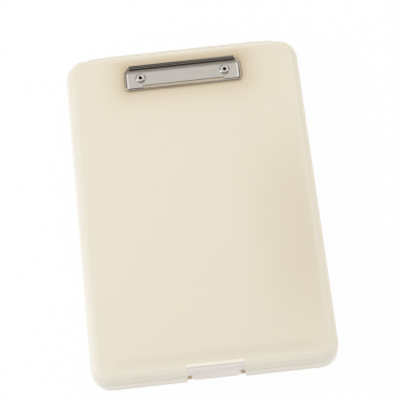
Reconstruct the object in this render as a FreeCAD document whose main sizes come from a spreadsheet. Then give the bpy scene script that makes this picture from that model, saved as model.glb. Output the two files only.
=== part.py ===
import FreeCAD, Part
import math
import os
import Sketcher

# Storage clipboard box: a flat plastic case whose lid is the writing board.
# Frame: +X to the right, +Y to the clip and the hinge, +Z up.
# The origin is on the table, under the middle of the case. All lengths are in millimetres.

SIZES = {
    # case outline
    "board_width": 236.0,
    "board_length": 350.0,
    "front_corner_radius": 18.8,
    "rear_corner_radius": 20.2,
    "wall": 2.4,
    "panel": 2.4,
    "cut_overrun": 2.0,
    "root_overlap": 0.6,
    # tray
    "tray_height": 17.0,
    "tray_lean": 0.3,
    "tray_edge_radius": 1.8,
    "tray_inner_radius": 1.6,
    "rim_tongue_height": 1.6,
    "rim_tongue_thickness": 1.0,
    "rim_clearance": 0.3,
    "trough_width": 19.0,
    "trough_rib_height": 10.0,
    "trough_rib_thickness": 1.6,
    "trough_rib_end": 18.0,
    # lid
    "parting_gap": 0.2,
    "lid_height": 8.2,
    "lid_lean": 0.5,
    "lid_straight": 0.4,
    "pip_radius": 1.2,
    "pip_height": 0.5,
    "pip_round": 0.35,
    "pip_side": 22.9,
    "pip_front": 16.7,
    # hinge
    "hinge_stand": 0.5,
    "knuckle_radius": 2.9,
    "knuckle_clearance": 0.35,
    "knuckle_side_gap": 0.4,
    "knuckle_centre_length": 32.0,
    "knuckle_length": 28.0,
    "knuckle_outer_length": 30.0,
    "fairing_length": 20.0,
    "fairing_end_radius": 1.6,
    "rod_radius": 1.0,
    "rod_clearance": 0.05,
    "rod_setback": 0.8,
    "hinge_land_depth": 5.6,
    "hinge_land_margin": 4.0,
    "land_cover": 0.85,
    # latch
    "latch_width": 54.0,
    "latch_side_gap": 0.2,
    "latch_thickness": 1.8,
    "latch_inset": 0.22,
    "latch_bottom": 5.8,
    "latch_drop": 0.5,
    "latch_axis_front": 6.3,
    "latch_clearance": 0.2,
    "latch_shoulder_width": 4.4,
    "latch_shoulder_height": 14.4,
    "latch_corner_width": 3.0,
    "latch_corner_height": 4.0,
    "latch_nib_width": 34.0,
    "latch_nib_depth": 1.0,
    "latch_nib_height": 1.5,
    "latch_nib_drop": 0.3,
    "trunnion_radius": 1.2,
    "trunnion_length": 1.9,
    "trunnion_clearance": 0.05,
    "cheek": 2.8,
    "housing_wall": 1.4,
    "housing_gap": 0.45,
    "recess_side": 1.0,
    "recess_depth": 3.4,
    "recess_wall": 2.0,
    "catch_depth": 0.35,
    "catch_height": 2.0,
    # clip
    "clip_sheet": 0.8,
    "barrel_half_width": 53.5,
    "ear_stand": 3.4,
    "barrel_outer_radius": 2.8,
    "barrel_rear_setback": 22.2,
    "ear_rear": 4.0,
    "ear_front": 21.5,
    "ear_relief": 2.4,
    "ear_width": 15.9,
    "ear_round": 2.0,
    "sheet_round": 0.3,
    "curl_slot_reach": 3.2,
    "wire_radius": 1.1,
    "wire_rest_gap": 0.15,
    "wire_side_gap": 0.3,
    "wire_reach": 23.6,
    "wire_journal": 15.5,
    "wire_stub": 1.0,
    "wire_cranked": 4.2,
    "wire_bend_radius": 1.5,
    "wire_corner_radius": 3.6,
    "spring_clearance": 0.05,
    "spring_length": 12.0,
    "spring_inset": 2.0,
    # rivets
    "rivet_inset": 10.8,
    "rivet_front": 11.0,
    "rivet_head_radius": 5.2,
    "rivet_head_height": 1.9,
    "rivet_dome_radius": 1.6,
    "rivet_eye_radius": 0.7,
    "rivet_flange_round": 0.3,
    "rivet_bore_radius": 1.5,
    "rivet_shank_radius": 2.2,
    "rivet_clearance": 0.05,
    "rivet_flange_radius": 3.6,
    "rivet_flange_height": 0.6,
    "washer_radius": 5.5,
    "washer_thickness": 0.6,
}


class Length:
    """A length worked out from the sheet, with the expression that binds it."""

    def __init__(self, value, text):
        self.value = value
        self.text = text

    @staticmethod
    def of(other):
        if isinstance(other, Length):
            return other
        return Length(float(other), repr(float(other)))

    def __add__(self, other):
        other = Length.of(other)
        return Length(self.value + other.value, f"({self.text} + {other.text})")

    def __sub__(self, other):
        other = Length.of(other)
        return Length(self.value - other.value, f"({self.text} - {other.text})")

    def __mul__(self, other):
        other = Length.of(other)
        return Length(self.value * other.value, f"({self.text} * {other.text})")

    def __truediv__(self, other):
        other = Length.of(other)
        return Length(self.value / other.value, f"({self.text} / {other.text})")

    def __neg__(self):
        return Length(-self.value, f"(0 - {self.text})")


class Sizes:
    """Every named size of the sheet, as a Length."""

    def __init__(self, table):
        for alias, value in table.items():
            setattr(self, alias, Length(value, f"Sizes.{alias}"))


ZERO = Length(0.0, "0")
ONE = Length(1.0, "1")
FULL_TURN = 360.0
S = Sizes(SIZES)

# Places shared by several pieces
HALF_WIDTH = S.board_width / 2
FRONT_Y = -(S.board_length / 2)
HINGE_Y = S.board_length / 2 - S.knuckle_radius
REAR_Y = HINGE_Y - S.hinge_stand
HINGE_Z = S.tray_height
LID_BOTTOM = S.tray_height + S.parting_gap
TOP_Z = LID_BOTTOM + S.lid_height
CEILING_Z = TOP_Z - S.panel
LID_ROUND = S.lid_height - S.lid_straight

# Stations of the hinge, counted from the middle plane
CENTRE_END = S.knuckle_centre_length / 2
INNER_END = CENTRE_END + S.knuckle_length
OUTER_END = INNER_END + S.knuckle_outer_length
FAIRING_END = OUTER_END + S.fairing_length
LAND_END = FAIRING_END + S.hinge_land_margin
LAND_Y = REAR_Y - S.hinge_land_depth
LAND_TOP = HINGE_Z + S.knuckle_radius + S.knuckle_clearance + S.land_cover

# Latch places
LATCH_Y = FRONT_Y + S.latch_axis_front
LATCH_ROOM = S.lid_height - S.housing_gap - S.housing_wall - S.latch_clearance - S.latch_drop
LATCH_RADIUS = LATCH_ROOM / 2
LATCH_Z = TOP_Z - S.latch_drop - LATCH_RADIUS
POCKET_HALF = S.latch_width / 2 + S.latch_side_gap
HOUSING_HALF = POCKET_HALF + S.cheek
RECESS_HALF = S.latch_width / 2 + S.recess_side
RECESS_Y = FRONT_Y + S.recess_depth
SKIN_Y = FRONT_Y + S.latch_inset
SKIRT_BACK_Y = SKIN_Y + S.latch_thickness
CATCH_Z = S.latch_bottom + S.latch_nib_height + S.latch_nib_drop

# Clip places
BARREL_Y = S.board_length / 2 - S.barrel_rear_setback
BARREL_Z = TOP_Z + S.barrel_outer_radius
PLATE_TOP = TOP_Z + S.clip_sheet
CLIP_HALF = S.barrel_half_width + S.ear_stand
WIRE_SIDE = CLIP_HALF + S.wire_side_gap + S.wire_radius
RIVET_X = S.barrel_half_width - S.rivet_inset
RIVET_Y = BARREL_Y - S.rivet_front

document = FreeCAD.newDocument("StorageClipboard")


def write_sheet():
    """Put the driving dimensions in the spreadsheet, one named row each."""
    sheet = document.addObject("Spreadsheet::Sheet", "Sizes")
    for row, (alias, value) in enumerate(SIZES.items(), start=1):
        sheet.set(f"A{row}", alias)
        sheet.set(f"B{row}", str(value))
        sheet.setAlias(f"B{row}", alias)
    document.recompute()


def new_body(label):
    body = document.addObject("PartDesign::Body", label)
    body.Label = label
    return body


def bind(item, name, length):
    item.setExpression(name, length.text)


def origin_plane(body, role):
    return [part for part in body.Origin.OriginFeatures if part.Role == role][0]


def new_sketch(body, name, role, right=ZERO, up=ZERO, out=ZERO):
    """A sketch on one of the body's origin planes, moved by named lengths in that plane's frame."""
    sketch = body.newObject("Sketcher::SketchObject", name)
    sketch.AttachmentSupport = (origin_plane(body, role), [""])
    sketch.MapMode = "FlatFace"
    start = FreeCAD.Vector(right.value, up.value, out.value)
    sketch.AttachmentOffset = FreeCAD.Placement(start, FreeCAD.Rotation())
    bind(sketch, "AttachmentOffset.Base.x", right)
    bind(sketch, "AttachmentOffset.Base.y", up)
    bind(sketch, "AttachmentOffset.Base.z", out)
    return sketch


def vector(point):
    return FreeCAD.Vector(point[0].value, point[1].value, 0)


def hold(sketch, kind, first, end, length):
    """Bind one coordinate of a point of the sketch to a length of the sheet."""
    index = sketch.addConstraint(Sketcher.Constraint(kind, -1, 1, first, end, length.value))
    sketch.setExpression(f"Constraints[{index}]", length.text)


def hold_point(sketch, first, end, point):
    hold(sketch, "DistanceX", first, end, point[0])
    hold(sketch, "DistanceY", first, end, point[1])


def draw_polygon(sketch, points):
    """A closed outline of straight lines through points given as pairs of lengths."""
    count = len(points)
    base = sketch.GeometryCount
    for step in range(count):
        ends = vector(points[step]), vector(points[(step + 1) % count])
        sketch.addGeometry(Part.LineSegment(*ends), False)
    for step in range(count):
        following = base + (step + 1) % count
        sketch.addConstraint(Sketcher.Constraint("Coincident", base + step, 2, following, 1))
        hold_point(sketch, base + step, 1, points[step])


def draw_box(sketch, left, right, low, high):
    draw_polygon(sketch, [(left, low), (right, low), (right, high), (left, high)])


def draw_circle(sketch, centre, radius):
    middle = vector(centre)
    circle = Part.Circle(middle, FreeCAD.Vector(0, 0, 1), radius.value)
    index = sketch.addGeometry(circle, False)
    hold_point(sketch, index, 3, centre)
    size = sketch.addConstraint(Sketcher.Constraint("Radius", index, radius.value))
    sketch.setExpression(f"Constraints[{size}]", radius.text)


def draw_outline(sketch, inset):
    """The rounded outline of the case, moved inwards by a wall or a share of it."""
    left, right = inset - HALF_WIDTH, HALF_WIDTH - inset
    front, rear = FRONT_Y + inset, REAR_Y - inset
    small, large = S.front_corner_radius - inset, S.rear_corner_radius - inset
    ends = [
        (left + small, front), (right - small, front),
        (right, front + small), (right, rear - large),
        (right - large, rear), (left + large, rear),
        (left, rear - large), (left, front + small),
    ]
    corners = [
        (right - small, front + small, small), (right - large, rear - large, large),
        (left + large, rear - large, large), (left + small, front + small, small),
    ]
    base = sketch.GeometryCount
    sides = len(corners)
    for side in range(sides):
        start, end = ends[2 * side], ends[2 * side + 1]
        sketch.addGeometry(Part.LineSegment(vector(start), vector(end)), False)
    for side, (centre_x, centre_y, radius) in enumerate(corners):
        circle = Part.Circle(vector((centre_x, centre_y)), FreeCAD.Vector(0, 0, 1), radius.value)
        quarter = math.pi / 2
        first = quarter * (side - 1)
        sketch.addGeometry(Part.ArcOfCircle(circle, first, first + quarter), False)
    for side in range(sides):
        hold_point(sketch, base + side, 1, ends[2 * side])
        hold_point(sketch, base + side, 2, ends[2 * side + 1])
    for side in range(sides):
        arc = base + sides + side
        following = base + (side + 1) % sides
        sketch.addConstraint(Sketcher.Constraint("Tangent", base + side, 2, arc, 1))
        sketch.addConstraint(Sketcher.Constraint("Coincident", arc, 2, following, 1))


def extrude(kind, body, sketch, length, both_ways=False, downwards=False, lean=None):
    """Pad or pocket a sketch; lean is how far the walls move inwards over the whole length."""
    feature = body.newObject(f"PartDesign::{kind}", f"{sketch.Name}_{kind.lower()}")
    feature.Profile = sketch
    feature.Type = "Length"
    bind(feature, "Length", length)
    feature.Length = length.value
    if both_ways:
        feature.SideType = "Symmetric"
    feature.Reversed = downwards
    if lean is not None:
        bind(feature, "TaperAngle", Length(0.0, f"-atan({lean.text} / {length.text})"))
    document.recompute()
    return feature


def pad(body, sketch, length, **options):
    return extrude("Pad", body, sketch, length, **options)


def pocket(body, sketch, length, **options):
    before = body.Shape.Volume
    feature = extrude("Pocket", body, sketch, length, **options)
    if body.Shape.Volume >= before:
        raise RuntimeError(f"{feature.Name} cuts nothing")
    return feature


def revolve(kind, body, sketch):
    """Turn a sketch once about its own horizontal axis."""
    before = body.Shape.Volume if body.Shape.Solids else 0
    feature = body.newObject(f"PartDesign::{kind}", f"{sketch.Name}_{kind.lower()}")
    feature.Profile = sketch
    feature.ReferenceAxis = (sketch, ["H_Axis"])
    feature.Angle = FULL_TURN
    document.recompute()
    if kind == "Groove" and body.Shape.Volume >= before:
        raise RuntimeError(f"{feature.Name} cuts nothing")
    return feature


def round_edges(body, name, radius, chosen, kind="Fillet"):
    """Round or chamfer every edge of the body that the test picks."""
    base = body.Tip
    names = [f"Edge{at + 1}" for at, edge in enumerate(base.Shape.Edges) if chosen(edge)]
    if not names:
        raise RuntimeError(f"{name} finds no edge")
    feature = body.newObject(f"PartDesign::{kind}", name)
    feature.Base = (base, names)
    bind(feature, "Radius" if kind == "Fillet" else "Size", radius)
    document.recompute()
    return feature


def lies_at_height(edge, height):
    box = edge.BoundBox
    near = S.parting_gap.value / 2
    return abs(box.ZMin - height.value) < near and abs(box.ZMax - height.value) < near


def hinge_profile(sketch, spans, fairings, growth):
    """Half sections of hinge barrels, each from one station to another, on the hinge's axis."""
    radius = S.knuckle_radius + growth
    for start, end in spans:
        draw_polygon(sketch, [(start, ZERO), (end, ZERO), (end, radius), (start, radius)])
    for start, shoulder, tip in fairings:
        small = S.fairing_end_radius + growth
        draw_polygon(sketch, [(start, ZERO), (tip, ZERO), (tip, small), (shoulder, radius), (start, radius)])


def hinge_sketch(body, name):
    return new_sketch(body, name, "XY_Plane", up=HINGE_Y, out=HINGE_Z)


def bore_hinge(body, name):
    """The rod's bore, through every knuckle of one half of the hinge."""
    sketch = new_sketch(body, name, "YZ_Plane")
    draw_circle(sketch, (HINGE_Y, HINGE_Z), S.rod_radius + S.rod_clearance)
    pocket(body, sketch, FAIRING_END * 2, both_ways=True)


def make_tray():
    """Lower half: tray with a rounded foot, rim tongue, pen trough, catch recess and two knuckles."""
    body = new_body("base_tray")
    outline = new_sketch(body, "tray_outline", "XY_Plane", out=S.tray_height)
    draw_outline(outline, ZERO)
    pad(body, outline, S.tray_height, downwards=True, lean=S.tray_lean)
    round_edges(body, "tray_foot_round", S.tray_edge_radius, lambda edge: lies_at_height(edge, ZERO))

    cavity = new_sketch(body, "tray_cavity", "XY_Plane", out=S.tray_height)
    draw_outline(cavity, S.wall)
    inner_lean = S.tray_lean * (S.tray_height - S.panel) / S.tray_height
    pocket(body, cavity, S.tray_height - S.panel, lean=inner_lean)
    round_edges(body, "tray_floor_round", S.tray_inner_radius, lambda edge: lies_at_height(edge, S.panel))

    tongue = new_sketch(body, "rim_tongue", "XY_Plane", out=S.tray_height)
    draw_outline(tongue, S.wall - S.rim_tongue_thickness)
    draw_outline(tongue, S.wall)
    pad(body, tongue, S.rim_tongue_height)
    gaps = new_sketch(body, "tongue_gaps", "XY_Plane", out=S.tray_height)
    latch_gap = HOUSING_HALF + S.rim_clearance
    hinge_gap = LAND_END + S.rim_clearance
    draw_box(gaps, -latch_gap, latch_gap, FRONT_Y, FRONT_Y + S.wall * 2)
    draw_box(gaps, -hinge_gap, hinge_gap, LAND_Y, REAR_Y)
    pocket(body, gaps, S.rim_tongue_height, downwards=True)

    lands = new_sketch(body, "tray_lands", "XY_Plane", out=S.panel - S.root_overlap)
    draw_box(lands, -LAND_END, LAND_END, LAND_Y, REAR_Y - S.wall / 2)
    wall_half = RECESS_HALF + S.recess_wall
    draw_box(lands, -wall_half, wall_half, FRONT_Y + S.wall / 2, RECESS_Y + S.recess_wall)
    pad(body, lands, S.tray_height - S.panel + S.root_overlap)

    rib = new_sketch(body, "trough_rib", "XY_Plane", out=S.panel - S.root_overlap)
    rib_half = HALF_WIDTH - S.wall - S.trough_rib_end
    rib_y = FRONT_Y + S.wall + S.trough_width
    draw_box(rib, -rib_half, rib_half, rib_y, rib_y + S.trough_rib_thickness)
    pad(body, rib, S.trough_rib_height + S.root_overlap)

    recess = new_sketch(body, "latch_recess", "YZ_Plane")
    over_top = S.tray_height + S.cut_overrun
    draw_polygon(recess, [
        (FRONT_Y - S.cut_overrun, -S.cut_overrun), (RECESS_Y, -S.cut_overrun),
        (RECESS_Y, CATCH_Z), (RECESS_Y - S.catch_depth, CATCH_Z),
        (RECESS_Y - S.catch_depth, CATCH_Z + S.catch_height - S.catch_depth),
        (RECESS_Y, CATCH_Z + S.catch_height), (RECESS_Y, over_top), (FRONT_Y - S.cut_overrun, over_top),
    ])
    pocket(body, recess, RECESS_HALF * 2, both_ways=True)

    relief = hinge_sketch(body, "tray_hinge_relief")
    growth = S.knuckle_clearance
    near, end = CENTRE_END + S.knuckle_side_gap, INNER_END - S.knuckle_side_gap
    far = FAIRING_END + growth
    hinge_profile(relief, [(-near, near)], [(end, OUTER_END, far), (-end, -OUTER_END, -far)], growth)
    revolve("Groove", body, relief)
    knuckles = hinge_sketch(body, "tray_knuckles")
    hinge_profile(knuckles, [(near, end), (-end, -near)], [], ZERO)
    revolve("Revolution", body, knuckles)
    bore_hinge(body, "tray_rod_bore")
    return body


def make_lid():
    """Upper half: the writing board with rounded edges, latch pocket and three faired knuckles."""
    body = new_body("lid_shell")
    outline = new_sketch(body, "lid_outline", "XY_Plane", out=LID_BOTTOM)
    draw_outline(outline, ZERO)
    pad(body, outline, S.lid_height, lean=S.lid_lean)
    round_edges(body, "lid_edge_round", LID_ROUND, lambda edge: lies_at_height(edge, TOP_Z))

    cavity = new_sketch(body, "lid_cavity", "XY_Plane", out=LID_BOTTOM)
    draw_outline(cavity, S.wall)
    depth = S.lid_height - S.panel
    inner_lean = S.lid_lean * depth / S.lid_height
    pocket(body, cavity, depth, downwards=True, lean=inner_lean)
    round_edges(body, "lid_ceiling_round", LID_ROUND - S.wall, lambda edge: lies_at_height(edge, CEILING_Z))

    rebate = new_sketch(body, "rim_rebate", "XY_Plane", out=LID_BOTTOM)
    draw_outline(rebate, S.wall - S.rim_tongue_thickness - S.rim_clearance)
    draw_outline(rebate, S.wall * 2)
    pocket(body, rebate, S.rim_tongue_height + S.rim_clearance, downwards=True)

    land = new_sketch(body, "lid_hinge_land", "XY_Plane", out=LID_BOTTOM)
    draw_box(land, -LAND_END, LAND_END, LAND_Y, REAR_Y - S.wall * 3 / 4)
    pad(body, land, LAND_TOP - LID_BOTTOM)

    housing = new_sketch(body, "latch_housing", "YZ_Plane")
    pocket_radius = LATCH_RADIUS + S.latch_clearance
    housing_y = LATCH_Y + pocket_radius + S.housing_wall
    inside_y = FRONT_Y + S.wall / 2
    under = LATCH_Z - pocket_radius - S.housing_wall
    half_barrel = LATCH_RADIUS / 2
    draw_polygon(housing, [
        (inside_y, LID_BOTTOM), (SKIRT_BACK_Y + S.latch_clearance + S.housing_wall, LID_BOTTOM),
        (LATCH_Y - half_barrel, under), (LATCH_Y + half_barrel, under), (housing_y, LATCH_Z - half_barrel),
        (housing_y, TOP_Z - S.panel / 2), (LATCH_Y, TOP_Z - S.panel / 2),
        (inside_y + LATCH_RADIUS, LATCH_Z), (inside_y, LID_BOTTOM + S.panel),
    ])
    pad(body, housing, HOUSING_HALF * 2, both_ways=True)

    cut_latch_pocket(body, pocket_radius)
    relief = hinge_sketch(body, "lid_hinge_relief")
    hinge_profile(relief, [(CENTRE_END, INNER_END), (-INNER_END, -CENTRE_END)], [], S.knuckle_clearance)
    revolve("Groove", body, relief)
    knuckles = hinge_sketch(body, "lid_knuckles")
    fairings = [(INNER_END, OUTER_END, FAIRING_END), (-INNER_END, -OUTER_END, -FAIRING_END)]
    hinge_profile(knuckles, [(-CENTRE_END, CENTRE_END)], fairings, ZERO)
    revolve("Revolution", body, knuckles)
    bore_hinge(body, "lid_rod_bore")

    holes = new_sketch(body, "lid_rivet_holes", "XY_Plane", out=CEILING_Z - S.cut_overrun)
    for place in (-RIVET_X, RIVET_X):
        draw_circle(holes, (place, RIVET_Y), S.rivet_shank_radius + S.rivet_clearance)
    pocket(body, holes, S.panel + S.cut_overrun * 2, downwards=True)

    pips = new_sketch(body, "paper_pips", "XY_Plane", out=TOP_Z - S.root_overlap)
    pip_x, pip_y = HALF_WIDTH - S.pip_side, FRONT_Y + S.pip_front
    for place in (-pip_x, pip_x):
        draw_circle(pips, (place, pip_y), S.pip_radius)
    pad(body, pips, S.pip_height + S.root_overlap)
    round_edges(body, "pip_tops", S.pip_round, lambda edge: lies_at_height(edge, TOP_Z + S.pip_height))
    return body


def cut_latch_pocket(body, pocket_radius):
    """Room for the latch's barrel, skirt and trunnions in the front of the lid."""
    barrel = new_sketch(body, "pocket_barrel", "YZ_Plane")
    draw_circle(barrel, (LATCH_Y, LATCH_Z), pocket_radius)
    pocket(body, barrel, POCKET_HALF * 2, both_ways=True)
    skirt = new_sketch(body, "pocket_skirt", "YZ_Plane")
    back = SKIRT_BACK_Y + S.latch_clearance
    outside = FRONT_Y - S.cut_overrun
    above = TOP_Z + S.cut_overrun
    web = latch_web()
    draw_polygon(skirt, [
        (outside, LID_BOTTOM - S.cut_overrun), (back, LID_BOTTOM - S.cut_overrun),
        (back, web[0][1] - S.latch_clearance),
        (web[1][0] + S.latch_clearance, web[1][1] - S.latch_clearance),
        (LATCH_Y, LATCH_Z), (LATCH_Y, above), (outside, above),
    ])
    pocket(body, skirt, POCKET_HALF * 2, both_ways=True)
    sockets = new_sketch(body, "trunnion_sockets", "YZ_Plane")
    draw_circle(sockets, (LATCH_Y, LATCH_Z), S.trunnion_radius + S.trunnion_clearance)
    reach = S.latch_width / 2 + S.trunnion_length + S.latch_side_gap
    pocket(body, sockets, reach * 2, both_ways=True)


def make_hinge_rod():
    """Straight steel rod through all the knuckles, set back from both ends."""
    body = new_body("hinge_rod")
    section = new_sketch(body, "rod_section", "YZ_Plane")
    draw_circle(section, (HINGE_Y, HINGE_Z), S.rod_radius)
    pad(body, section, (FAIRING_END - S.rod_setback) * 2, both_ways=True)
    return body


def latch_web():
    """The inner side of the latch where its skirt runs into the barrel, from low to high."""
    low = (SKIRT_BACK_Y, LATCH_Z - LATCH_RADIUS * 2)
    high = (LATCH_Y - LATCH_RADIUS, LATCH_Z - LATCH_RADIUS / 2)
    return low, high


def make_latch():
    """Flap latch: a skirt that follows the case's rounded front, its barrel, trunnions and nib."""
    body = new_body("front_latch")
    block = new_sketch(body, "latch_block", "YZ_Plane")
    skin_top = TOP_Z - S.latch_inset
    behind = LATCH_Y + LATCH_RADIUS
    draw_polygon(block, [
        (SKIN_Y, S.latch_bottom), (behind, S.latch_bottom), (behind, skin_top),
        (SKIN_Y + S.lid_lean, skin_top), (SKIN_Y, LID_BOTTOM),
    ])
    pad(body, block, S.latch_width, both_ways=True)

    def is_top_front(edge):
        return lies_at_height(edge, skin_top) and edge.BoundBox.YMax < LATCH_Y.value

    round_edges(body, "latch_round", LID_ROUND - S.latch_inset, is_top_front)

    hollow = new_sketch(body, "latch_hollow", "YZ_Plane")
    low = S.latch_bottom - S.cut_overrun
    outside, above = behind + S.cut_overrun, TOP_Z + S.cut_overrun
    web = latch_web()
    draw_polygon(hollow, [
        (SKIRT_BACK_Y, low), (outside, low), (outside, above), (LATCH_Y, above), (LATCH_Y, LATCH_Z),
        web[1], web[0],
    ])
    pocket(body, hollow, S.latch_width, both_ways=True)

    corners = new_sketch(body, "latch_corners", "XZ_Plane", out=-FRONT_Y + S.cut_overrun)
    half = S.latch_width / 2
    skirt = half - S.latch_shoulder_width
    for side in (ONE, -ONE):
        draw_polygon(corners, [
            (side * (half + S.cut_overrun), S.latch_bottom - S.cut_overrun),
            (side * (skirt - S.latch_corner_width), S.latch_bottom - S.cut_overrun),
            (side * (skirt - S.latch_corner_width), S.latch_bottom),
            (side * skirt, S.latch_bottom + S.latch_corner_height),
            (side * skirt, S.latch_bottom + S.latch_shoulder_height),
            (side * (half + S.cut_overrun), S.latch_bottom + S.latch_shoulder_height),
        ])
    pocket(body, corners, S.latch_axis_front + S.cut_overrun * 2)

    barrel = new_sketch(body, "latch_barrel", "YZ_Plane")
    draw_circle(barrel, (LATCH_Y, LATCH_Z), LATCH_RADIUS)
    pad(body, barrel, S.latch_width, both_ways=True)

    nib = new_sketch(body, "latch_nib", "YZ_Plane")
    nib_y = SKIRT_BACK_Y + S.latch_nib_depth
    nib_top = S.latch_bottom + S.latch_nib_height
    draw_polygon(nib, [
        (SKIRT_BACK_Y - S.root_overlap, S.latch_bottom), (SKIRT_BACK_Y, S.latch_bottom),
        (nib_y, nib_top - S.latch_nib_depth / 2), (nib_y, nib_top), (SKIRT_BACK_Y - S.root_overlap, nib_top),
    ])
    pad(body, nib, S.latch_nib_width, both_ways=True)

    trunnions = new_sketch(body, "latch_trunnions", "YZ_Plane")
    draw_circle(trunnions, (LATCH_Y, LATCH_Z), S.trunnion_radius)
    pad(body, trunnions, S.latch_width + S.trunnion_length * 2, both_ways=True)
    return body


def make_clip_plate():
    """Sheet steel plate with ears, its rear edge curled into the barrel that carries the wire."""
    body = new_body("clip_plate")
    ring = new_sketch(body, "barrel_ring", "YZ_Plane")
    draw_circle(ring, (BARREL_Y, BARREL_Z), S.barrel_outer_radius)
    draw_circle(ring, (BARREL_Y, BARREL_Z), S.barrel_outer_radius - S.clip_sheet)
    pad(body, ring, S.barrel_half_width * 2, both_ways=True)
    slot = new_sketch(body, "curl_slot", "YZ_Plane")
    slot_mouth = (BARREL_Y - S.curl_slot_reach, PLATE_TOP)
    draw_polygon(slot, [(BARREL_Y, BARREL_Z), slot_mouth, (BARREL_Y, PLATE_TOP)])
    pocket(body, slot, S.barrel_half_width * 2, both_ways=True)

    sheet = new_sketch(body, "plate_outline", "XY_Plane", out=TOP_Z)
    rear, ear_y = BARREL_Y, BARREL_Y - S.ear_rear
    front = BARREL_Y - S.ear_front
    relief = front + S.ear_relief
    ear_inner = CLIP_HALF - S.ear_width
    draw_polygon(sheet, [
        (-S.barrel_half_width, rear), (-S.barrel_half_width, ear_y), (-CLIP_HALF, ear_y),
        (-CLIP_HALF, front), (-ear_inner, front), (-ear_inner, relief),
        (ear_inner, relief), (ear_inner, front), (CLIP_HALF, front),
        (CLIP_HALF, ear_y), (S.barrel_half_width, ear_y), (S.barrel_half_width, rear),
    ])
    pad(body, sheet, S.clip_sheet)

    def is_ear_corner(edge):
        box = edge.BoundBox
        upright = box.ZLength > S.clip_sheet.value / 2 and box.YLength < S.sheet_round.value
        return upright and abs(abs(box.Center.x) - CLIP_HALF.value) < S.sheet_round.value

    round_edges(body, "ear_corners", S.ear_round, is_ear_corner)
    holes = new_sketch(body, "plate_rivet_holes", "XY_Plane", out=TOP_Z - S.cut_overrun)
    for place in (-RIVET_X, RIVET_X):
        draw_circle(holes, (place, RIVET_Y), S.rivet_shank_radius + S.rivet_clearance)
    pocket(body, holes, S.clip_sheet + S.cut_overrun * 2, downwards=True)

    def is_sheet_edge(edge):
        ahead = edge.BoundBox.YMax < (ear_y + S.sheet_round).value
        return ahead and lies_at_height(edge, PLATE_TOP) and not edge.isClosed()

    round_edges(body, "sheet_edge_round", S.sheet_round, is_sheet_edge)
    return body


def make_jaw_wire():
    """One bent wire: two journals in the barrel, cranked out to the sides, and the jaw bar."""
    body = new_body("jaw_wire")
    tilt = Length(0.0, f"asin(({S.barrel_outer_radius.text} - {S.wire_radius.text}"
                       f" - {S.wire_rest_gap.text}) / {S.wire_reach.text})")
    path = body.newObject("Sketcher::SketchObject", "wire_path")
    path.AttachmentSupport = (origin_plane(body, "XY_Plane"), [""])
    path.MapMode = "FlatFace"
    stub_x = S.barrel_half_width + S.wire_stub
    inner_x = S.barrel_half_width - S.wire_journal
    draw_wire_path(path, [
        (-inner_x, ZERO), (-stub_x, ZERO), (-WIRE_SIDE, -S.wire_cranked),
        (-WIRE_SIDE, -S.wire_reach), (WIRE_SIDE, -S.wire_reach),
        (WIRE_SIDE, -S.wire_cranked), (stub_x, ZERO), (inner_x, ZERO),
    ], [S.wire_bend_radius, S.wire_bend_radius * 2, S.wire_corner_radius,
        S.wire_corner_radius, S.wire_bend_radius * 2, S.wire_bend_radius])
    section = new_sketch(body, "wire_section", "YZ_Plane", out=-inner_x)
    draw_circle(section, (ZERO, ZERO), S.wire_radius)
    pipe = body.newObject("PartDesign::AdditivePipe", "wire_pipe")
    pipe.Profile = section
    pipe.Spine = path
    document.recompute()
    body.Placement = FreeCAD.Placement()
    bind(body, "Placement.Base.y", BARREL_Y)
    bind(body, "Placement.Base.z", BARREL_Z)
    body.setExpression("Placement.Rotation.Axis.x", "1")
    body.setExpression("Placement.Rotation.Axis.z", "0")
    bind(body, "Placement.Rotation.Angle", tilt)
    document.recompute()
    return body


def draw_wire_path(sketch, points, radii):
    """Straight runs joined by tangent arcs, with each run's corner points bound to the sheet."""
    base = sketch.GeometryCount
    runs = len(points) - 1
    for step in range(runs):
        sketch.addGeometry(Part.LineSegment(vector(points[step]), vector(points[step + 1])), False)
    for step in range(runs):
        hold_point(sketch, base + step, 1, points[step])
        if step < runs - 1:
            sketch.addConstraint(Sketcher.Constraint("Coincident", base + step, 2, base + step + 1, 1))
    hold_point(sketch, base + runs - 1, 2, points[-1])
    for step, radius in enumerate(radii):
        sketch.fillet(base + step, 2, radius.value)
    document.recompute()


def make_springs():
    """Torsion springs, wound close on the wire's journals inside the barrel, as plain sleeves."""
    springs = []
    start = S.barrel_half_width - S.spring_inset - S.spring_length
    for label, out in (("spring_left", -(start + S.spring_length)), ("spring_right", start)):
        body = new_body(label)
        ring = new_sketch(body, f"{label}_ring", "YZ_Plane", out=out)
        outer = S.barrel_outer_radius - S.clip_sheet - S.spring_clearance
        draw_circle(ring, (BARREL_Y, BARREL_Z), outer)
        draw_circle(ring, (BARREL_Y, BARREL_Z), S.wire_radius + S.spring_clearance)
        pad(body, ring, S.spring_length)
        springs.append(body)
    return springs


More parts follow.
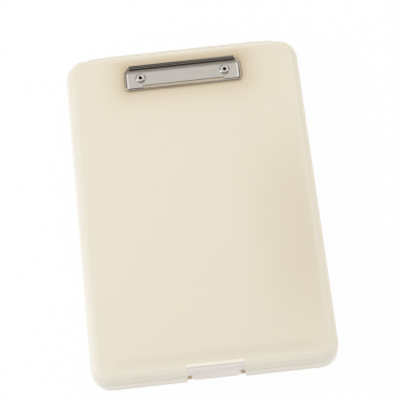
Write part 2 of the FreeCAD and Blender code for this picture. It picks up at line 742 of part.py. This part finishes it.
def make_rivets():
    """Hollow rivets: domed head on the plate, shank through the lid, rolled lip on the washer."""
    rivets = []
    places = (("rivet_left", -RIVET_X), ("rivet_right", RIVET_X))
    for label, place in places:
        body = new_body(label)
        section = new_sketch(body, f"{label}_section", "XZ_Plane", right=place, out=-RIVET_Y)
        washer_face = CEILING_Z - S.washer_thickness
        foot = washer_face - S.rivet_flange_height
        head_top = PLATE_TOP + S.rivet_head_height
        draw_polygon(section, [
            (S.rivet_bore_radius, foot), (S.rivet_flange_radius, foot),
            (S.rivet_flange_radius, washer_face), (S.rivet_shank_radius, washer_face),
            (S.rivet_shank_radius, PLATE_TOP), (S.rivet_head_radius, PLATE_TOP),
            (S.rivet_head_radius, head_top), (S.rivet_bore_radius, head_top),
        ])
        feature = body.newObject("PartDesign::Revolution", f"{label}_turn")
        feature.Profile = section
        feature.ReferenceAxis = (section, ["V_Axis"])
        feature.Angle = FULL_TURN
        document.recompute()
        round_rivet(body, label, head_top, foot)
        rivets.append(body)
    return rivets


def round_rivet(body, label, head_top, foot):
    """Dome the head, roll its eye and round the flange below."""
    def is_ring(edge, radius, height):
        return edge.isClosed() and lies_at_height(edge, height) and abs(edge.Curve.Radius - radius.value) < (
            S.rivet_clearance.value)

    round_edges(body, f"{label}_dome", S.rivet_dome_radius,
                lambda edge: is_ring(edge, S.rivet_head_radius, head_top))
    round_edges(body, f"{label}_eye", S.rivet_eye_radius,
                lambda edge: is_ring(edge, S.rivet_bore_radius, head_top))
    round_edges(body, f"{label}_flange", S.rivet_flange_round,
                lambda edge: is_ring(edge, S.rivet_flange_radius, foot))


def make_washers():
    """Flat steel washers between the lid's ceiling and the rivets' rolled lips."""
    washers = []
    places = (("washer_left", -RIVET_X), ("washer_right", RIVET_X))
    for label, place in places:
        body = new_body(label)
        ring = new_sketch(body, f"{label}_ring", "XY_Plane", out=CEILING_Z - S.washer_thickness)
        draw_circle(ring, (place, RIVET_Y), S.washer_radius)
        draw_circle(ring, (place, RIVET_Y), S.rivet_shank_radius + S.rivet_clearance)
        pad(body, ring, S.washer_thickness)
        washers.append(body)
    return washers


def check_and_export(bodies):
    """Stop at any failed feature or open shape, then write one file for each piece."""
    for item in document.Objects:
        if "Invalid" in item.State or "Error" in item.State:
            raise RuntimeError(f"{item.Name} failed: {item.State}")
    os.makedirs("parts", exist_ok=True)
    for body in bodies:
        shape = body.Shape
        if shape.isNull() or not shape.isValid() or not shape.Solids:
            raise RuntimeError(f"{body.Label} has no valid solid")
    for body in bodies:
        body.Shape.exportStep(f"parts/{body.Label}.step")


write_sheet()
PIECES = [make_tray(), make_lid(), make_hinge_rod(), make_latch(), make_clip_plate(), make_jaw_wire()]
PIECES += make_springs() + make_rivets() + make_washers()
document.recompute()
check_and_export(PIECES)
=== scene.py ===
import bpy
import math
from mathutils import Matrix, Vector


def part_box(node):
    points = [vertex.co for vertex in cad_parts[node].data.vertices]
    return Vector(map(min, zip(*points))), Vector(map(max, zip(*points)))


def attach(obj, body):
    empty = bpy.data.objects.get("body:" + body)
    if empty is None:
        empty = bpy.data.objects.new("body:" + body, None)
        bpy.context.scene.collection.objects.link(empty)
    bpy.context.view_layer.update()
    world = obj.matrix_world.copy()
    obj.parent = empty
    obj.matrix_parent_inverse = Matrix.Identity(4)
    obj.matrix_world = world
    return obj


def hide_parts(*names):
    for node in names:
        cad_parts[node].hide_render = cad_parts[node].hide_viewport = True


# Storage clipboard box: the finish of its plastic and steel, its coil springs, the table and the light.
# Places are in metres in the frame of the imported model: +X right, +Y to the clip, +Z up.

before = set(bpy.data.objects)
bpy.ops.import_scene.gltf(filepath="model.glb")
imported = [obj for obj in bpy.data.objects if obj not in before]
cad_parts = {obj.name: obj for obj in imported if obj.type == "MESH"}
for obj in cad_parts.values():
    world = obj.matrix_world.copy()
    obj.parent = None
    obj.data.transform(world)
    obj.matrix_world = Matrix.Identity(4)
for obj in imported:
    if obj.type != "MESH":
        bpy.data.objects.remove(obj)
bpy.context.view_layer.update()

MM = 0.001

# The case, read from the frame
TRAY_LOW, TRAY_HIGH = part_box("base_tray")
PLATE_LOW, PLATE_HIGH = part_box("clip_plate")
SPRING_LOW, SPRING_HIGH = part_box("spring_right")
LATCH_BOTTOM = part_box("front_latch")[0].z
HALF_WIDTH = TRAY_HIGH.x
FRONT_Y = TRAY_LOW.y
BOARD_Z = PLATE_LOW.z
BARREL_Y = (SPRING_LOW.y + SPRING_HIGH.y) / 2
BARREL_Z = (SPRING_LOW.z + SPRING_HIGH.z) / 2

# Places on the case that no piece's box gives
CORNER = 20 * MM
PARTING_Z = 17.1 * MM
POCKET_HALF = 27.2 * MM
POCKET_Y = -165.43 * MM
PIP_SIDE = 22.9 * MM
PIP_FRONT = 16.7 * MM
FRONT_LINE = 8.6 * MM
TROUGH_SIDE = 104 * MM
SHADED_Y = -38 * MM

# Finishes
PLASTIC_EDGE = 0.4 * MM
PLASTIC_IOR = 1.49
GAP_LIGHT = (0.10, 0.094, 0.080, 1.0)

# Springs
SPRING_WIRE_RADIUS = 0.38 * MM
SPRING_TURNS = 14


class Value:
    """A number or vector of a node tree; an expression on it adds the Math nodes it needs."""

    def __init__(self, nodes, socket):
        self.nodes = nodes
        self.socket = socket

    def math(self, operation, *others):
        inputs = {place: other for place, other in enumerate((self,) + others)}
        return self.nodes.node("ShaderNodeMath", {"operation": operation}, inputs)

    def __add__(self, other):
        return self.math("ADD", other)

    def __radd__(self, other):
        return self.math("ADD", other)

    def __sub__(self, other):
        return self.math("SUBTRACT", other)

    def __rsub__(self, other):
        return self.math("MULTIPLY_ADD", -1.0, other)

    def __mul__(self, other):
        return self.math("MULTIPLY", other)

    def __rmul__(self, other):
        return self.math("MULTIPLY", other)

    def __abs__(self):
        return self.math("ABSOLUTE")

    def larger(self, other):
        return self.math("MAXIMUM", other)

    def root(self):
        return self.math("SQRT")

    def ramp(self, start, end):
        """0 at start and 1 at end, with soft ends."""
        settings = {"interpolation_type": "SMOOTHSTEP"}
        inputs = {"Value": self, "From Min": start, "From Max": end}
        return self.nodes.node("ShaderNodeMapRange", settings, inputs)

    def beside(self, name):
        """Another output of the same node."""
        return Value(self.nodes, self.socket.node.outputs[name])


class Nodes:
    """The node tree of a material or of the world."""

    def __init__(self, tree):
        self.tree = tree

    def fill(self, socket, given):
        """Link a Value to the socket, or set a plain number, vector or colour on it."""
        if isinstance(given, Value):
            self.tree.links.new(given.socket, socket)
        else:
            socket.default_value = given

    def node(self, kind, settings=(), inputs=(), output=0):
        """Add a node, set it up, fill its sockets and return one of its outputs."""
        made = self.tree.nodes.new(kind)
        for name, setting in dict(settings).items():
            setattr(made, name, setting)
        for name, given in dict(inputs).items():
            self.fill(made.inputs[name], given)
        return Value(self, made.outputs[output])

    def show(self, shader, output_node):
        self.fill(self.tree.nodes[output_node].inputs["Surface"], shader)


class Finish(Nodes):
    """One material, built around a Principled shader."""

    def __init__(self, name):
        self.material = bpy.data.materials.new(name)
        self.material.use_nodes = True
        super().__init__(self.material.node_tree)
        self.shader = self.tree.nodes["Principled BSDF"]
        self.place = self.node("ShaderNodeTexCoord", output="Object")
        self.x = self.node("ShaderNodeSeparateXYZ", inputs={0: self.place}, output="X")
        self.y = self.x.beside("Y")
        self.z = self.x.beside("Z")

    def noise(self, size, detail=2.0, stretch=(1.0, 1.0, 1.0)):
        """Noise from 0 to 1 whose lumps are about this size, in metres, longer where stretch is larger."""
        scale = tuple(1.0 / (size * along) for along in stretch)
        moved = self.node("ShaderNodeMapping", {"vector_type": "POINT"},
                          {"Vector": self.place, "Scale": scale})
        inputs = {"Vector": moved, "Scale": 1.0, "Detail": detail, "Roughness": 0.5}
        return self.node("ShaderNodeTexNoise", inputs=inputs)

    def blend(self, first, second, factor):
        """Colour that goes from the first to the second as the factor goes from 0 to 1."""
        factor_place, first_place, second_place, colour_out = 0, 6, 7, 2
        inputs = {factor_place: factor, first_place: first, second_place: second}
        return self.node("ShaderNodeMix", {"data_type": "RGBA"}, inputs, colour_out)

    def soft_edges(self, radius):
        """Normal that rounds sharp edges off by this radius."""
        return self.node("ShaderNodeBevel", {"samples": 4}, {"Radius": radius})

    def bump(self, height, distance, under):
        inputs = {"Height": height, "Distance": distance, "Strength": 0.3, "Normal": under}
        return self.node("ShaderNodeBump", inputs=inputs)

    def feed(self, **sockets):
        """Fill sockets of the Principled shader, named with underscores for spaces."""
        for name, given in sockets.items():
            self.fill(self.shader.inputs[name.replace("_", " ")], given)
        return self.material


def colour(red, green, blue):
    """Linear colour from the usual 0 to 255 screen values."""
    def linear(level):
        level = level / 255
        return level / 12.92 if level <= 0.04045 else ((level + 0.055) / 1.055) ** 2.4
    return (linear(red), linear(green), linear(blue), 1.0)


def beyond(place, half):
    """How far a distance from a middle plane reaches past half a width, or 0."""
    return (abs(place) - half).larger(0.0)


def board_top(finish):
    """1 on the upper face of the board, 0 lower down and inside the case."""
    return finish.z.ramp(BOARD_Z - 1.0 * MM, BOARD_Z - 0.2 * MM)


def shade_round_clip(finish):
    """Painted shade round the clip: 1 beside the clip, dying away over a few centimetres of the board."""
    middle = (PLATE_LOW.y + PLATE_HIGH.y) / 2
    aside = beyond(finish.x, PLATE_HIGH.x)
    along = beyond(finish.y - middle, (PLATE_HIGH.y - PLATE_LOW.y) / 2)
    distance = (aside * aside + along * along).root()
    fades_over = 12 * MM
    return (distance * (-1.0 / fades_over)).math("EXPONENT")


def under_clip(finish):
    """1 on the board below the clip, where light hardly comes, and 0 a little outside it."""
    aside = beyond(finish.x, PLATE_HIGH.x)
    ahead = (PLATE_LOW.y - finish.y).larger(0.0)
    behind = (finish.y - PLATE_HIGH.y).larger(0.0)
    distance = (aside * aside + ahead * ahead + behind * behind).root()
    return 1.0 - distance.ramp(0.0, 1.2 * MM)


def beside_latch(finish):
    """1 on the walls of the latch's pocket, 0 on the rest of the case."""
    aside = beyond(finish.x, POCKET_HALF)
    behind = (finish.y - POCKET_Y).larger(0.0)
    return 1.0 - (aside + behind).ramp(0.05 * MM, 0.15 * MM)


def latch_corner_shade(finish):
    """Painted shade: 1 where the shaded inside of the case shows through the latch's cut corners, 0
    elsewhere.
    """
    aside = beyond(abs(finish.x) - POCKET_HALF + 1.8 * MM, 1.6 * MM)
    above = beyond(finish.z - LATCH_BOTTOM + 1.0 * MM, 5.0 * MM)
    return beside_latch(finish) * (1.0 - (aside + above).ramp(0.0, 0.8 * MM))


def gap_light(finish, walls):
    """Painted light: a faint glow in the latch's narrow gap, standing in for the light that comes through
    the plastic around it.
    """
    upper = finish.z.ramp(PARTING_Z - 1 * MM, PARTING_Z + 1 * MM)
    return finish.blend(colour(0, 0, 0), GAP_LIGHT, walls * upper)


def joint_shade(finish):
    """Painted shade: 1 along the joint between tray and lid, where the narrow gap lies in shade, 0
    elsewhere.
    """
    return 1.0 - abs(finish.z - PARTING_Z).ramp(0.1 * MM, 0.7 * MM)


def trough_shade(finish):
    """Painted shade: 1 over the pen trough, which shows through the board as a faint darker band."""
    from_front = finish.y - FRONT_Y
    band = from_front.ramp(9 * MM, 17 * MM) * (1.0 - from_front.ramp(18 * MM, 25 * MM))
    return band * (1.0 - abs(finish.x).ramp(86 * MM, TROUGH_SIDE))


def inset_from_outline(finish):
    """Distance inside the box's rounded outline, seen from above."""
    aside = beyond(finish.x, HALF_WIDTH - CORNER)
    along = beyond(finish.y, -FRONT_Y - CORNER)
    return (aside * aside + along * along).root() * -1.0 + CORNER


def pips(finish):
    """Painted highlight: 1 on the two small paper pips, whose glints are painted paler than the board."""
    aside = abs(finish.x) - (HALF_WIDTH - PIP_SIDE)
    along = finish.y - FRONT_Y - PIP_FRONT
    return 1.0 - (aside * aside + along * along).root().ramp(0.6 * MM, 1.6 * MM)


def front_highlight(finish):
    """Painted highlight: 1 along the line where the flat of the board starts to roll over to the front."""
    across = 1.0 - abs(finish.y - FRONT_Y - FRONT_LINE).ramp(0.3 * MM, 1.2 * MM)
    return across * (1.0 - abs(finish.x).ramp(80 * MM, TROUGH_SIDE))


def shaded_side(finish):
    """1 in the middle of the softly shaded part of the board, at its right, and 0 away from it."""
    along = 1.0 - abs(finish.y - SHADED_Y).ramp(20 * MM, 150 * MM)
    return finish.x.ramp(20 * MM, 100 * MM) * along


def milky_plastic():
    """Glossy, slightly see-through plastic with softened edges, and painted light and shade in its colour:
    a paler rim, soft shade, highlights and a glow in the latch's gap.
    """
    finish = Finish("cream_plastic")
    tone = finish.blend(colour(237, 227, 208), colour(235, 227, 210), finish.noise(60 * MM, 1.0))
    above = board_top(finish)
    clip_shade = shade_round_clip(finish)
    # painted shade: the board darker and warmer round the clip
    tone = finish.blend(tone, colour(216, 196, 162), clip_shade * above)
    # painted shade: a faint darker band over the pen trough
    tone = finish.blend(tone, colour(214, 204, 182), trough_shade(finish) * above * 0.2)
    tone = finish.blend(tone, colour(228, 217, 196), shaded_side(finish) * above)
    # painted highlights: glints on the pips and a faint bright line where the board rolls over to the
    # front
    shine = (pips(finish) + front_highlight(finish) * 0.2) * above
    tone = finish.blend(tone, colour(250, 246, 236), shine)
    # painted light: the rim near the outline is paler, for the light that comes through the thin rounded
    # edges
    rim = 1.0 - inset_from_outline(finish).ramp(3 * MM, 14 * MM)
    tone = finish.blend(tone, colour(235, 229, 215), rim)
    tone = finish.blend(tone, colour(212, 198, 172), under_clip(finish) * above)
    # painted shade along the joint between tray and lid
    tone = finish.blend(tone, colour(188, 178, 160), joint_shade(finish) * 0.45)
    pocket = beside_latch(finish)
    # painted light: the walls of the latch's pocket are paler, so the narrow gap round the latch does not
    # look dark
    tone = finish.blend(tone, colour(240, 232, 218), pocket)
    # painted shade: brown where the case's inside shows at the latch's cut corners
    tone = finish.blend(tone, colour(190, 167, 124), latch_corner_shade(finish))
    return finish.feed(
        Base_Color=tone, Roughness=0.26 + (rim + clip_shade) * 0.03, IOR=PLASTIC_IOR,
        Normal=finish.soft_edges(PLASTIC_EDGE),
        Subsurface_Weight=0.35, Subsurface_Radius=(1.0, 0.86, 0.6), Subsurface_Scale=4 * MM,
        Emission_Color=gap_light(finish, pocket), Emission_Strength=1.0,
    )


def latch_plastic():
    """The latch is a separate moulding, whiter and cooler than the case."""
    finish = Finish("latch_plastic")
    cloud = finish.noise(14 * MM, 2.0)
    tone = finish.blend(colour(234, 228, 222), colour(230, 223, 217), cloud)
    flank = abs(finish.x).ramp(POCKET_HALF - 0.5 * MM, POCKET_HALF - 0.2 * MM)
    inside = finish.y.ramp(FRONT_Y + 7 * MM, FRONT_Y + 9 * MM)
    lit_gap = flank.larger(inside)
    # painted light: the latch's faces in its narrow gap are paler so the gap does not look dark
    tone = finish.blend(tone, colour(252, 248, 245), lit_gap)
    skin = finish.noise(0.9 * MM, 3.0)
    return finish.feed(
        Base_Color=tone, Roughness=0.28 + cloud * 0.06, IOR=PLASTIC_IOR,
        Normal=finish.bump(skin, 0.02 * MM, finish.soft_edges(PLASTIC_EDGE)),
        Subsurface_Weight=0.25, Subsurface_Radius=(1.0, 0.9, 0.8), Subsurface_Scale=2 * MM,
        Emission_Color=gap_light(finish, lit_gap), Emission_Strength=1.0,
    )


def plated_steel(name, tone, dull_tone, smooth, rough):
    """Nickel plated steel: faint clouding, fine scratches, duller where it is handled."""
    finish = Finish(name)
    cloud = finish.noise(6 * MM, 3.0)
    scratch = finish.noise(0.25 * MM)
    return finish.feed(
        Base_Color=finish.blend(tone, dull_tone, cloud), Metallic=1.0,
        Roughness=smooth + cloud * (rough - smooth),
        Normal=finish.bump(scratch, 0.01 * MM, finish.soft_edges(0.2 * MM)),
    )


def clip_steel():
    """The clip's sheet: satin where flat and polished over the barrel, with painted reflection and shade:
    dark over the barrel's top, paler at its foot, bright along its sides, dark on its cut edges.
    """
    finish = Finish("clip_steel")
    over_board = finish.z - PLATE_LOW.z
    from_barrel = finish.y - BARREL_Y
    curl = from_barrel.ramp(-3.4 * MM, -2.4 * MM).larger(over_board.ramp(1.0 * MM, 1.4 * MM))
    cloud = finish.noise(6 * MM, 3.0)
    scratch = finish.noise(0.25 * MM, 2.0, stretch=(12.0, 1.0, 1.0))
    flat_tone = finish.blend(colour(233, 227, 218), colour(226, 219, 210), cloud)
    # painted highlight: the plate's side edges are near white and smoother, as if shining
    edge_sheen = abs(finish.x).ramp(PLATE_HIGH.x - 2.4 * MM, PLATE_HIGH.x - 1.0 * MM)
    flat_tone = finish.blend(flat_tone, colour(252, 250, 246), edge_sheen)
    # painted shade: the plate's thin edge faces are dark, for the shadow under its edge
    edge_shade = 1.0 - over_board.ramp(0.5 * MM, 0.75 * MM)
    flat_tone = finish.blend(flat_tone, colour(110, 100, 86), edge_shade)
    # painted reflection: the curl is pale and its top dark, for the light and dark lines the barrel
    # mirrors
    top = (finish.z - BARREL_Z).ramp(-0.6 * MM, 0.2 * MM).larger(from_barrel.ramp(-1.0 * MM, 0.0))
    curl_tone = finish.blend(colour(240, 234, 226), colour(140, 132, 124), top)
    # painted light: the foot of the curl is made partly non-metal so it shows paler
    foot = curl * (1.0 - top) * 0.6
    polished = curl.larger(edge_sheen) - foot
    return finish.feed(
        Base_Color=finish.blend(flat_tone, curl_tone, curl), Metallic=1.0 - foot,
        Roughness=(0.30 + cloud * 0.06) * (1.0 - polished * 0.8),
        Normal=finish.bump(scratch, 0.01 * MM, finish.soft_edges(0.3 * MM)),
    )


def dress(name, material):
    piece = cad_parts[name]
    piece.data.materials.clear()
    piece.data.materials.append(material)


def give_finishes():
    shell = milky_plastic()
    dress("base_tray", shell)
    dress("lid_shell", shell)
    dress("front_latch", latch_plastic())
    dress("clip_plate", clip_steel())
    wire = plated_steel("bright_wire", colour(226, 216, 200), colour(214, 203, 186), 0.08, 0.14)
    dress("jaw_wire", wire)
    rivet = plated_steel("bright_rivet", colour(234, 230, 222), colour(222, 216, 207), 0.05, 0.10)
    washer = plated_steel("washer_steel", colour(190, 188, 182), colour(172, 168, 160), 0.30, 0.42)
    for side in ("left", "right"):
        dress(f"rivet_{side}", rivet)
        dress(f"washer_{side}", washer)
    rod = plated_steel("rod_steel", colour(186, 184, 178), colour(166, 162, 155), 0.2, 0.34)
    dress("hinge_rod", rod)


def wind_spring(side, start, steel):
    """A torsion spring of close coils on the jaw wire's journal, from start towards +X."""
    radius = (SPRING_HIGH.z - SPRING_LOW.z) / 2 - SPRING_WIRE_RADIUS
    length = SPRING_HIGH.x - SPRING_LOW.x - SPRING_WIRE_RADIUS * 2
    middle = (0.0, 0.0, 0.0)
    bpy.ops.object.select_all(action="DESELECT")
    bpy.ops.mesh.primitive_circle_add(vertices=10, radius=SPRING_WIRE_RADIUS, location=middle)
    coil = bpy.context.object
    coil.name = f"coil_{side}"
    bpy.ops.object.mode_set(mode="EDIT")
    for axis in "YZ":
        bpy.ops.transform.rotate(value=math.radians(90), orient_axis=axis, center_override=middle)
    bpy.ops.transform.translate(value=(0.0, 0.0, radius))
    bpy.ops.object.mode_set(mode="OBJECT")
    winding = coil.modifiers.new("winding", "SCREW")
    winding.axis = "X"
    winding.angle = math.radians(360)
    winding.iterations = SPRING_TURNS
    winding.screw_offset = length / SPRING_TURNS
    winding.steps = winding.render_steps = 20
    winding.use_merge_vertices = False
    bpy.ops.object.modifier_apply(modifier=winding.name)
    bpy.ops.object.mode_set(mode="EDIT")
    bpy.ops.mesh.select_all(action="SELECT")
    bpy.ops.transform.translate(value=(start + SPRING_WIRE_RADIUS, BARREL_Y, BARREL_Z))
    bpy.ops.mesh.normals_make_consistent(inside=False)
    bpy.ops.object.mode_set(mode="OBJECT")
    bpy.ops.object.shade_smooth()
    coil.data.materials.append(steel)
    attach(coil, "lid")
    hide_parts(f"spring_{side}")


def wind_springs():
    steel = plated_steel("spring_steel", colour(150, 147, 142), colour(128, 125, 120), 0.25, 0.4)
    wind_spring("left", -SPRING_HIGH.x, steel)
    wind_spring("right", SPRING_LOW.x, steel)


# Camera, solved from the outline in the photograph
PIXELS = 400
FOCAL_PIXELS = 1724.425
DISTANCE = 1700.0 * MM
ELEVATION = math.radians(66.218)
YAW = math.radians(-1.631)
ROLL = math.radians(4.763)
SHIFT_RIGHT = 2.435 * MM
SHIFT_UP = 6.925 * MM
SENSOR = 36.0
AIM_HEIGHT = 12.5 * MM
SIGHT_END = 20.0


def place_camera():
    back = Vector((math.sin(YAW) * math.cos(ELEVATION), -math.cos(YAW) * math.cos(ELEVATION),
                   math.sin(ELEVATION)))
    right = Vector((math.cos(YAW), math.sin(YAW), 0.0))
    up = back.cross(right)
    rolled_right = right * math.cos(ROLL) - up * math.sin(ROLL)
    rolled_up = right * math.sin(ROLL) + up * math.cos(ROLL)
    lens = bpy.data.cameras.new("camera")
    lens.sensor_width = SENSOR
    lens.lens = FOCAL_PIXELS / PIXELS * SENSOR
    lens.clip_end = SIGHT_END
    camera = bpy.data.objects.new("camera", lens)
    bpy.context.scene.collection.objects.link(camera)
    centre = Vector((0.0, 0.0, AIM_HEIGHT))
    camera.location = centre + back * DISTANCE + rolled_right * SHIFT_RIGHT + rolled_up * SHIFT_UP
    camera.rotation_mode = "QUATERNION"
    turn = [[rolled_right[row], rolled_up[row], back[row]] for row in range(3)]
    camera.rotation_quaternion = Matrix(turn).to_quaternion()
    bpy.context.scene.camera = camera


# Table, room and lamps, chosen for the tones in the photograph
TABLE_SIZE = 6.0
TABLE_Z = -0.3 * MM
TABLE_GREY = (0.9, 0.9, 0.9, 1.0)
TABLE_WHITE_SHARE = 0.96
ROOM_TINT = (1.0, 0.98, 0.955, 1.0)
ROOM_STRENGTH = 0.86
ROOM_SHOWN = (0.8, 0.8, 0.8, 1.0)
LAMP_SIZE = 0.6
LAMPS = (
    ("softbox", (-0.45, 0.05, 0.75), 0.8, (0.86, 1.0, 1.22)),
    ("window", (-1.2, 0.10, 0.40), 2.5, (0.93, 1.0, 1.08)),
    ("right_fill", (1.2, 0.0, 0.40), 0.9, (1.1, 1.0, 0.85)),
    ("rear_fill", (0.3, 1.2, 0.40), 1.3, (1.0, 1.0, 0.95)),
)
DIM_GLOW = (0.012, 0.010, 0.008, 1.0)
WALL_RADIUS = 2.5
WALL_HEIGHT = 2.1
WALL_MIDDLE_Z = 1.06
RAIL_PLACE = (0.0, -0.05, 2.4)
RAIL_SIZE = (2.6, 1.4, 1.0)


def seen_directly(nodes):
    """1 for rays from the camera, and for what metal and clear plastic show, else 0."""
    camera = nodes.node("ShaderNodeLightPath", output="Is Camera Ray")
    return camera.larger(camera.beside("Is Glossy Ray")).larger(camera.beside("Is Transmission Ray"))


def bare_material(name):
    """A material for the stage, with nothing in it yet but its output."""
    material = bpy.data.materials.new(name)
    material.use_nodes = True
    tree = material.node_tree
    tree.nodes.remove(tree.nodes["Principled BSDF"])
    return material


def make_floor():
    bpy.ops.mesh.primitive_plane_add(size=TABLE_SIZE, location=(0.0, 0.0, TABLE_Z))
    floor = bpy.context.object
    floor.name = "floor"
    material = bare_material("white_table")
    nodes = Nodes(material.node_tree)
    diffuse = nodes.node("ShaderNodeBsdfDiffuse", inputs={"Color": TABLE_GREY})
    white = nodes.node("ShaderNodeEmission", inputs={"Strength": 1.0})
    share = seen_directly(nodes) * TABLE_WHITE_SHARE
    nodes.show(nodes.node("ShaderNodeMixShader", inputs={0: share, 1: diffuse, 2: white}),
               "Material Output")
    floor.data.materials.append(material)


def light_room():
    world = bpy.data.worlds.new("room")
    bpy.context.scene.world = world
    world.use_nodes = True
    world.node_tree.nodes.remove(world.node_tree.nodes["Background"])
    nodes = Nodes(world.node_tree)
    room = nodes.node("ShaderNodeBackground", inputs={"Color": ROOM_TINT, "Strength": ROOM_STRENGTH})
    shown = nodes.node("ShaderNodeBackground", inputs={"Color": ROOM_SHOWN, "Strength": 1.0})
    share = seen_directly(nodes)
    nodes.show(nodes.node("ShaderNodeMixShader", inputs={0: share, 1: room, 2: shown}),
               "World Output")
    for lamp in LAMPS:
        add_lamp(*lamp)
    add_dark_wall()


def add_lamp(name, place, power, tint):
    lamp = bpy.data.lights.new(name, "AREA")
    lamp.shape = "DISK"
    lamp.size = LAMP_SIZE
    lamp.energy = power
    lamp.color = tint
    holder = bpy.data.objects.new(name, lamp)
    bpy.context.scene.collection.objects.link(holder)
    holder.location = place
    holder.rotation_mode = "QUATERNION"
    holder.rotation_quaternion = Vector(place).to_track_quat("Z", "Y")


def seen_in_metal_only(thing):
    """A stage piece that shows in reflections and does nothing else."""
    thing.visible_camera = False
    thing.visible_diffuse = False
    thing.visible_transmission = False
    thing.visible_shadow = False


def add_dark_wall():
    """The dim wall and the lamp rail of a studio, which give the bright metal its dark lines."""
    dim = bare_material("dim_wall")
    nodes = Nodes(dim.node_tree)
    nodes.show(nodes.node("ShaderNodeEmission", inputs={"Color": DIM_GLOW}), "Material Output")
    bpy.ops.mesh.primitive_cylinder_add(
        vertices=48, radius=WALL_RADIUS, depth=WALL_HEIGHT, end_fill_type="NOTHING",
        location=(0.0, 0.0, WALL_MIDDLE_Z),
    )
    wall = bpy.context.object
    wall.name = "dim_wall"
    bpy.ops.mesh.primitive_plane_add(size=1.0, location=RAIL_PLACE)
    rail = bpy.context.object
    rail.name = "lamp_rail"
    rail.scale = RAIL_SIZE
    for thing in (wall, rail):
        thing.data.materials.append(dim)
        seen_in_metal_only(thing)


give_finishes()
wind_springs()
place_camera()
make_floor()
light_room()
bpy.context.scene.view_settings.view_transform = "Standard"
